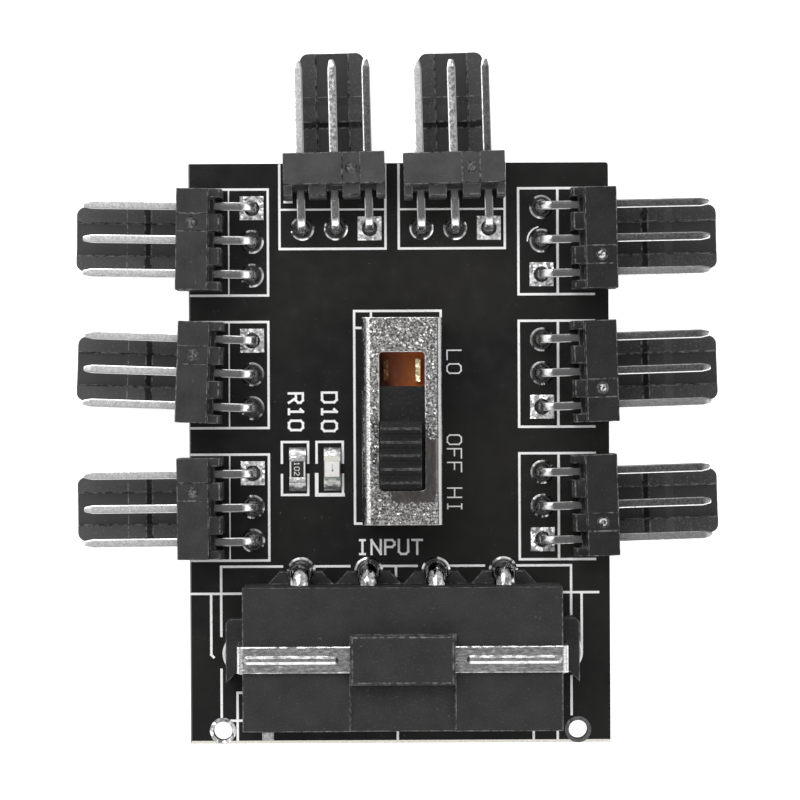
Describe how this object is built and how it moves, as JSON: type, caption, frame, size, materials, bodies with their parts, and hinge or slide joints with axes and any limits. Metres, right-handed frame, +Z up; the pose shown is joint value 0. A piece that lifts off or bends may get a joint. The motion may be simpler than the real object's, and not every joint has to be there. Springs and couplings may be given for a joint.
{
  "type": "fan hub",
  "caption": "Small circuit board that shares a drive power feed among right-angle fan headers, with a slide switch for speed and an indicator lamp",
  "frame": {"origin": "middle of the outline in X and Y, on the plane through the ends of the soldered tails", "axes": "+Z up out of the board's component face, +Y towards the rear fan headers, away from the power connector"},
  "size_m": [0.0482, 0.0521, 0.0154],
  "materials": {
    "board_mask": "satin black solder mask",
    "header_plastic": "moulded black nylon",
    "pin_tin": "tin plated",
    "solder": "bright solder",
    "power_plastic": "moulded black nylon",
    "strap_steel": "tinned steel",
    "frame_steel": "matt plated steel",
    "base_amber": "brown phenolic",
    "slider_plastic": "moulded black",
    "contact_brass": "bright stamped",
    "lamp_base": "pale laminate",
    "lamp_lens": "clear moulded resin",
    "resistor_ceramic": "dark glazed top",
    "resistor_caps": "tinned",
    "print_white": "white printed ink"
  },
  "bodies": {
    "hub": {"circuit_board": "board_mask", "fan_header_1_housing": "header_plastic", "fan_header_1_pin_1": "pin_tin", "fan_header_1_pin_2": "pin_tin", "fan_header_1_pin_3": "pin_tin", "fan_header_2_housing": "header_plastic", "fan_header_2_pin_1": "pin_tin", "fan_header_2_pin_2": "pin_tin", "fan_header_2_pin_3": "pin_tin", "fan_header_3_housing": "header_plastic", "fan_header_3_pin_1": "pin_tin", "fan_header_3_pin_2": "pin_tin", "fan_header_3_pin_3": "pin_tin", "fan_header_4_housing": "header_plastic", "fan_header_4_pin_1": "pin_tin", "fan_header_4_pin_2": "pin_tin", "fan_header_4_pin_3": "pin_tin", "fan_header_5_housing": "header_plastic", "fan_header_5_pin_1": "pin_tin", "fan_header_5_pin_2": "pin_tin", "fan_header_5_pin_3": "pin_tin", "fan_header_6_housing": "header_plastic", "fan_header_6_pin_1": "pin_tin", "fan_header_6_pin_2": "pin_tin", "fan_header_6_pin_3": "pin_tin", "fan_header_7_housing": "header_plastic", "fan_header_7_pin_1": "pin_tin", "fan_header_7_pin_2": "pin_tin", "fan_header_7_pin_3": "pin_tin", "fan_header_8_housing": "header_plastic", "fan_header_8_pin_1": "pin_tin", "fan_header_8_pin_2": "pin_tin", "fan_header_8_pin_3": "pin_tin", "fan_header_solder": "solder", "power_housing": "power_plastic", "power_pin_1": "pin_tin", "power_pin_2": "pin_tin", "power_pin_3": "pin_tin", "power_pin_4": "pin_tin", "power_strap": "strap_steel", "power_solder": "solder", "switch_frame": "frame_steel", "switch_base": "base_amber", "switch_terminals_left": "contact_brass", "switch_terminals_right": "contact_brass", "switch_solder": "solder", "lamp_base": "lamp_base", "lamp_lens": "lamp_lens", "resistor_body": "resistor_ceramic", "resistor_caps": "resistor_caps", "chip_solder": "solder"},
    "slider": {"switch_slider": "slider_plastic", "switch_contact_left": "contact_brass", "switch_contact_right": "contact_brass"}
  },
  "joints": [
    {"name": "switch_slide", "type": "slide", "parent": "hub", "child": "slider", "axis": [0, 1, 0], "range_m": [0, 0.00508]}
  ]
}
